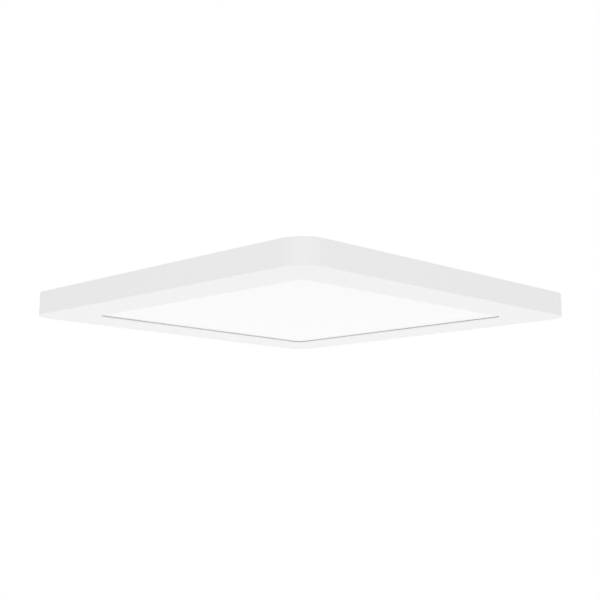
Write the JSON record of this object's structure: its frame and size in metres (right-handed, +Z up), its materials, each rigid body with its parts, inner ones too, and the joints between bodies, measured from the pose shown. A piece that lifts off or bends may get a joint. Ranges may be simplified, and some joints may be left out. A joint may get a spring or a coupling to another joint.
{
  "type": "flush mount ceiling light",
  "caption": "Slim square edge-lit flush mount ceiling light: rounded white frame, recessed opal panel, back plate with driver, on a clip-on bracket.",
  "frame": {"origin": "centre of the mounting bracket's top face, which is the ceiling plane", "axes": "+Z up into the ceiling, so the light hangs below z = 0; +X along the bracket and the long way of its slots; +Y towards the driver"},
  "size_m": [0.3, 0.3, 0.018],
  "materials": {
    "white_coat": "satin white powder coat",
    "opal_acrylic": "opal acrylic, satin face",
    "clear_acrylic": "clear acrylic with a printed dot pattern",
    "white_film": "matt white film",
    "grey_foam": "closed-cell foam",
    "led_board": "white solder mask on aluminium",
    "led_package": "yellow phosphor in a white package",
    "thermal_tape": "thermal tape",
    "silicone": "translucent silicone",
    "amber_flex": "amber flexible circuit",
    "zinc_steel": "galvanised steel sheet",
    "bright_zinc": "bright zinc plating",
    "spring_steel": "spring steel",
    "green_screw": "green grounding screw",
    "white_plastic": "moulded white plastic",
    "black_plastic": "moulded black plastic",
    "circuit_green": "green solder mask",
    "clear_sheet": "insulating film",
    "ferrite": "sintered ferrite",
    "winding_tape": "yellow winding tape",
    "capacitor_can": "sleeved aluminium can",
    "fuse_body": "coated ceramic",
    "varistor_blue": "epoxy-coated disc",
    "brass": "plain brass",
    "tinned_copper": "tinned",
    "black_wire": "insulated lead",
    "white_wire": "insulated lead",
    "green_wire": "insulated lead",
    "red_wire": "insulated lead",
    "rubber_black": "soft rubber"
  },
  "bodies": {
    "ceiling_bracket": {"mounting_bracket": "zinc_steel", "ground_screw": "green_screw"},
    "fixture": {"bezel_frame": "white_coat", "diffuser": "opal_acrylic", "light_guide": "clear_acrylic", "reflector": "white_film", "foam_pad": "grey_foam", "led_board_rear": "led_board", "led_board_left": "led_board", "led_board_front": "led_board", "led_board_right": "led_board", "led_row_rear": "led_package", "led_row_left": "led_package", "led_row_front": "led_package", "led_row_right": "led_package", "thermal_tapes": "thermal_tape", "guide_pads": "silicone", "corner_jumpers": "amber_flex", "back_plate": "zinc_steel", "back_plate_screws": "bright_zinc", "weld_studs": "bright_zinc", "stud_nuts": "bright_zinc", "spring_clip_right": "spring_steel", "spring_clip_left": "spring_steel", "driver_tray": "white_plastic", "driver_cover": "white_plastic", "insulating_sheet": "clear_sheet", "driver_board": "circuit_green", "transformer_core": "ferrite", "transformer_winding": "winding_tape", "input_capacitor": "capacitor_can", "output_capacitor": "capacitor_can", "filter_choke": "ferrite", "bridge_rectifier": "black_plastic", "control_chip": "black_plastic", "power_transistor": "black_plastic", "fuse": "fuse_body", "varistor": "varistor_blue", "input_connector": "white_plastic", "output_connector": "white_plastic", "selector_switch": "black_plastic", "terminal_block": "white_plastic", "terminal_contacts": "brass", "live_lead": "black_wire", "neutral_lead": "white_wire", "earth_lead": "green_wire", "earth_tag": "tinned_copper", "led_lead_positive": "red_wire", "led_lead_negative": "black_wire", "lead_grommet": "rubber_black"},
    "selector": {"selector_knob": "white_plastic"}
  },
  "joints": [
    {"name": "fixture_drop", "type": "slide", "parent": "ceiling_bracket", "child": "fixture", "axis": [0, 0, -1], "range_m": [0, 0.05], "deforming": ["spring_clip_left", "spring_clip_right"]},
    {"name": "selector_slide", "type": "slide", "parent": "fixture", "child": "selector", "axis": [1, 0, 0], "range_m": [-0.0025, 0.0025]}
  ]
}
